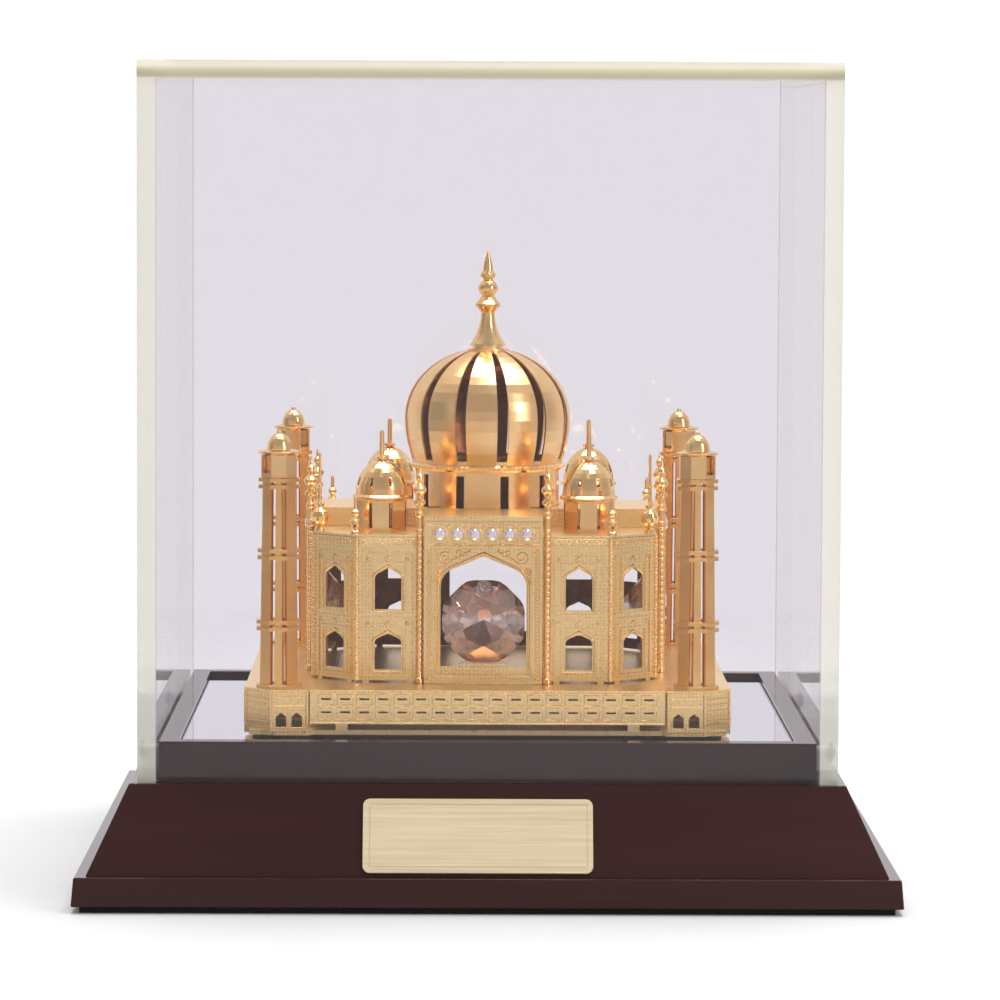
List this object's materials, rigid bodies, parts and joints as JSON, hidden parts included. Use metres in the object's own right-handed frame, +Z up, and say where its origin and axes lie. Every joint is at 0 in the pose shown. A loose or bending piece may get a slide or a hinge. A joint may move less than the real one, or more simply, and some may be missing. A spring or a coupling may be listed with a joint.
{
  "type": "miniature landmark model",
  "caption": "Gilt sheet-metal miniature of a domed mausoleum with minarets and crystals in its arches, on a mirror in a lacquered stepped base under a lift-off clear cover.",
  "frame": {"origin": "middle of the underside of the felt, on the surface that the object stands on", "axes": "+Z up through the dome, the front with the name plate faces -Y, +X to the viewer's right"},
  "size_m": [0.202, 0.202, 0.2063],
  "materials": {
    "gilt_sheet": "polished gold plating over etched sheet",
    "lacquered_wood": "high-gloss dark brown lacquer",
    "cover_glass": "clear, polished edges with a greenish-cream tint",
    "mirror": "silvered glass",
    "champagne_plate": "satin, brushed along its length",
    "crystal": "faceted and polished",
    "small_stones": "faceted and polished",
    "dark_screw": "dark bronze",
    "zinc_steel": "bright zinc",
    "felt": "short black felt"
  },
  "bodies": {
    "display_base": {"base_board": "lacquered_wood", "plinth_block": "lacquered_wood", "moulding_front": "lacquered_wood", "moulding_right": "lacquered_wood", "moulding_back": "lacquered_wood", "moulding_left": "lacquered_wood", "base_felt": "felt", "platform_pads": "felt", "base_screws": "zinc_steel", "mirror_plate": "mirror", "name_plate": "champagne_plate", "platform_plate": "gilt_sheet", "platform_deck": "gilt_sheet", "roof_plate": "gilt_sheet", "dome_drum": "gilt_sheet", "dome_collar": "gilt_sheet", "dome_shell": "gilt_sheet", "dome_finial": "gilt_sheet", "portal_pinnacles": "gilt_sheet", "corner_spires": "gilt_sheet", "corner_balusters": "gilt_sheet", "bastion_front_right": "gilt_sheet", "bastion_back_right": "gilt_sheet", "bastion_back_left": "gilt_sheet", "bastion_front_left": "gilt_sheet", "minaret_shaft_front_right": "gilt_sheet", "minaret_shaft_back_right": "gilt_sheet", "minaret_shaft_back_left": "gilt_sheet", "minaret_shaft_front_left": "gilt_sheet", "minaret_lantern_front_right": "gilt_sheet", "minaret_lantern_back_right": "gilt_sheet", "minaret_lantern_back_left": "gilt_sheet", "minaret_lantern_front_left": "gilt_sheet", "corner_wall_front_right": "gilt_sheet", "corner_wall_back_right": "gilt_sheet", "corner_wall_back_left": "gilt_sheet", "corner_wall_front_left": "gilt_sheet", "kiosk_front_right": "gilt_sheet", "kiosk_back_right": "gilt_sheet", "kiosk_back_left": "gilt_sheet", "kiosk_front_left": "gilt_sheet", "portal_front": "gilt_sheet", "portal_right": "gilt_sheet", "portal_back": "gilt_sheet", "portal_left": "gilt_sheet", "crystal_front": "crystal", "crystal_right": "crystal", "crystal_left": "crystal", "frieze_stones": "small_stones"},
    "cover": {"cover_pane_front": "cover_glass", "cover_pane_right": "cover_glass", "cover_pane_back": "cover_glass", "cover_pane_left": "cover_glass", "cover_pane_top": "cover_glass"},
    "cover_screw_front_right": {"cover_screw_front_right": "dark_screw"},
    "cover_screw_back_right": {"cover_screw_back_right": "dark_screw"},
    "cover_screw_back_left": {"cover_screw_back_left": "dark_screw"},
    "cover_screw_front_left": {"cover_screw_front_left": "dark_screw"}
  },
  "joints": [
    {"name": "cover_lift", "type": "slide", "parent": "display_base", "child": "cover", "axis": [0, 0, 1], "range_m": [0, 0.14]},
    {"name": "screw_front_right_out", "type": "slide", "parent": "display_base", "child": "cover_screw_front_right", "axis": [1, 0, 0], "range_m": [0, 0.013]},
    {"name": "screw_back_right_out", "type": "slide", "parent": "display_base", "child": "cover_screw_back_right", "axis": [1, 0, 0], "range_m": [0, 0.013]},
    {"name": "screw_back_left_out", "type": "slide", "parent": "display_base", "child": "cover_screw_back_left", "axis": [-1, 0, 0], "range_m": [0, 0.013]},
    {"name": "screw_front_left_out", "type": "slide", "parent": "display_base", "child": "cover_screw_front_left", "axis": [-1, 0, 0], "range_m": [0, 0.013]}
  ]
}
